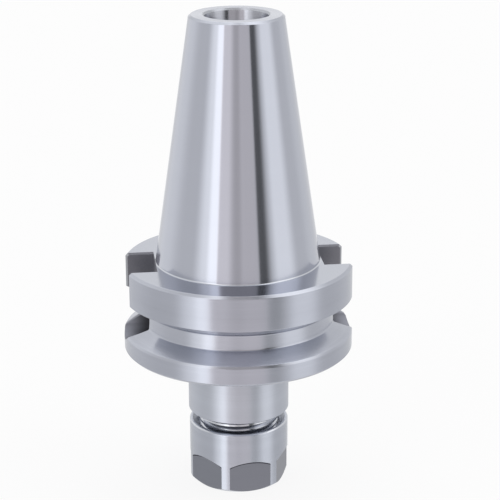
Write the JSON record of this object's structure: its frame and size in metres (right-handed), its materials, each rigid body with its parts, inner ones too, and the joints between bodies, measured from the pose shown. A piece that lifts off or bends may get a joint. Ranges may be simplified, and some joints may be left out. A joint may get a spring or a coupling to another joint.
{
  "type": "collet chuck holder",
  "caption": "Steep-taper tool holder with a collet chuck: ground taper shank, grooved flange with drive keyways, short neck and a screwed hexagonal clamping nut.",
  "frame": {"origin": "centre of the taper's gauge circle, on the axis", "axes": "+Z along the axis from the chuck up to the taper's small end; +X is 7 degrees from the middle of one drive keyway; -Y faces the picture's camera"},
  "size_m": [0.063, 0.063, 0.1319],
  "materials": {
    "holder_steel": "hardened steel: taper finely ground and bright, flange and neck satin turned",
    "nut_steel": "satin turned, with darker milled flats",
    "collet_steel": "ground spring steel"
  },
  "bodies": {
    "holder": {"holder_body": "holder_steel"},
    "collet": {"collet": "collet_steel"},
    "nut": {"clamping_nut": "nut_steel"}
  },
  "joints": [
    {"name": "collet_travel", "type": "slide", "parent": "holder", "child": "collet", "axis": [0, 0, -1], "range_m": [0, 0.0068]},
    {"name": "nut_turn", "type": "hinge", "parent": "collet", "child": "nut", "pos_m": [0, 0, -0.0575], "axis": [0, 0, -1], "range_deg": [0, 1620]}
  ],
  "couplings": [
    {"joint": "collet_travel", "follows": "nut_turn", "m_per_rad": 0.00023873}
  ]
}
